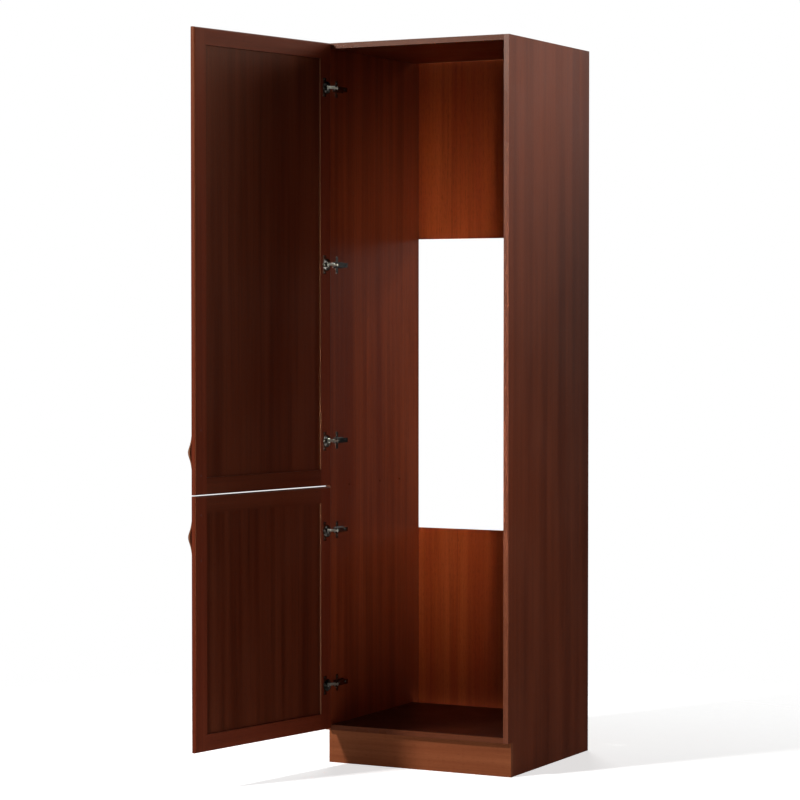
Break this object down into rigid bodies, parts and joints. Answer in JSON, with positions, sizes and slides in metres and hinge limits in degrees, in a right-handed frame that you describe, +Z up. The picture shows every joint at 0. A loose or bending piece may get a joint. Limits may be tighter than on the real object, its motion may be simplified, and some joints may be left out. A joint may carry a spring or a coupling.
{
  "type": "tall fridge housing cabinet",
  "caption": "Tall dark mahogany cabinet for a built-in fridge, with a plinth, an open back and framed doors on concealed hinges.",
  "frame": {"origin": "on the floor, under the middle of the plinth board", "axes": "+X to the right and +Y to the back, seen from the front, +Z up"},
  "size_m": [0.7279, 1.1719, 2.14],
  "materials": {
    "mahogany_board": "satin foil",
    "hardboard_back": "satin foil",
    "edge_band": "satin",
    "beech_dowel": "bare",
    "handle_wood": "satin lacquer",
    "door_panel": "satin foil",
    "door_frame": "satin foil",
    "cast_zinc": "cast",
    "hinge_steel": "nickel plated",
    "zinc_screw": "zinc plated"
  },
  "bodies": {
    "carcass": {"cam_bolts": "zinc_screw", "cam_locks": "cast_zinc", "carcass_dowels": "beech_dowel", "back_panel_nails": "zinc_screw", "lower_back_panel": "hardboard_back", "upper_back_panel": "hardboard_back", "plinth_bracket_screws": "zinc_screw", "plinth_brackets": "zinc_screw", "plinth_board": "mahogany_board", "hinge_plate_1": "hinge_steel", "hinge_arm_1": "hinge_steel", "hinge_plate_screws": "zinc_screw", "hinge_adjust_screws": "zinc_screw", "hinge_clamp_screws": "zinc_screw", "hinge_arm_pins": "zinc_screw", "hinge_plate_2": "hinge_steel", "hinge_arm_2": "hinge_steel", "hinge_plate_3": "hinge_steel", "hinge_arm_3": "hinge_steel", "hinge_plate_4": "hinge_steel", "hinge_arm_4": "hinge_steel", "hinge_plate_5": "hinge_steel", "hinge_arm_5": "hinge_steel", "left_side_panel": "mahogany_board", "side_edge_bands": "edge_band", "right_side_panel": "mahogany_board", "top_panel": "mahogany_board", "panel_edge_bands": "edge_band", "bottom_panel": "mahogany_board"},
    "upper_door": {"upper_door_dowels": "beech_dowel", "upper_door_panel": "door_panel", "upper_handle": "handle_wood", "upper_handle_screws": "zinc_screw", "hinge_cup_1": "hinge_steel", "upper_cup_pins": "zinc_screw", "upper_cup_screws": "zinc_screw", "hinge_cup_2": "hinge_steel", "hinge_cup_3": "hinge_steel", "upper_door_hinge_stile": "door_frame", "upper_door_handle_stile": "door_frame", "upper_door_bottom_rail": "door_frame", "upper_door_top_rail": "door_frame"},
    "upper_inner_links": {"upper_inner_links": "hinge_steel"},
    "upper_outer_links": {"upper_outer_links": "hinge_steel"},
    "lower_door": {"lower_door_dowels": "beech_dowel", "lower_door_panel": "door_panel", "lower_handle": "handle_wood", "lower_handle_screws": "zinc_screw", "hinge_cup_4": "hinge_steel", "lower_cup_pins": "zinc_screw", "lower_cup_screws": "zinc_screw", "hinge_cup_5": "hinge_steel", "lower_door_hinge_stile": "door_frame", "lower_door_handle_stile": "door_frame", "lower_door_bottom_rail": "door_frame", "lower_door_top_rail": "door_frame"},
    "lower_inner_links": {"lower_inner_links": "hinge_steel"},
    "lower_outer_links": {"lower_outer_links": "hinge_steel"}
  },
  "joints": [
    {"name": "upper_inner_link_pivot", "type": "hinge", "parent": "carcass", "child": "upper_inner_links", "pos_m": [-0.263, -0.023, 1.485], "axis": [0, 0, 1], "range_deg": [-22.18, 0]},
    {"name": "upper_door_hinge", "type": "hinge", "parent": "upper_inner_links", "child": "upper_door", "pos_m": [-0.28282, -0.04458, 1.485], "axis": [0, 0, 1], "range_deg": [0, 122.98]},
    {"name": "upper_outer_link_pivot", "type": "hinge", "parent": "carcass", "child": "upper_outer_links", "pos_m": [-0.265, -0.0365, 1.485], "axis": [0, 0, 1], "range_deg": [-44.35, 0]},
    {"name": "lower_inner_link_pivot", "type": "hinge", "parent": "carcass", "child": "lower_inner_links", "pos_m": [-0.263, -0.023, 0.467], "axis": [0, 0, 1], "range_deg": [-22.18, 0]},
    {"name": "lower_door_hinge", "type": "hinge", "parent": "lower_inner_links", "child": "lower_door", "pos_m": [-0.28282, -0.04458, 0.467], "axis": [0, 0, 1], "range_deg": [0, 122.98]},
    {"name": "lower_outer_link_pivot", "type": "hinge", "parent": "carcass", "child": "lower_outer_links", "pos_m": [-0.265, -0.0365, 0.467], "axis": [0, 0, 1], "range_deg": [-44.35, 0]}
  ],
  "couplings": [
    {"joint": "upper_inner_link_pivot", "follows": "upper_door_hinge", "ratio": -0.18033},
    {"joint": "upper_outer_link_pivot", "follows": "upper_door_hinge", "ratio": -0.36066},
    {"joint": "lower_inner_link_pivot", "follows": "lower_door_hinge", "ratio": -0.18033},
    {"joint": "lower_outer_link_pivot", "follows": "lower_door_hinge", "ratio": -0.36066}
  ]
}
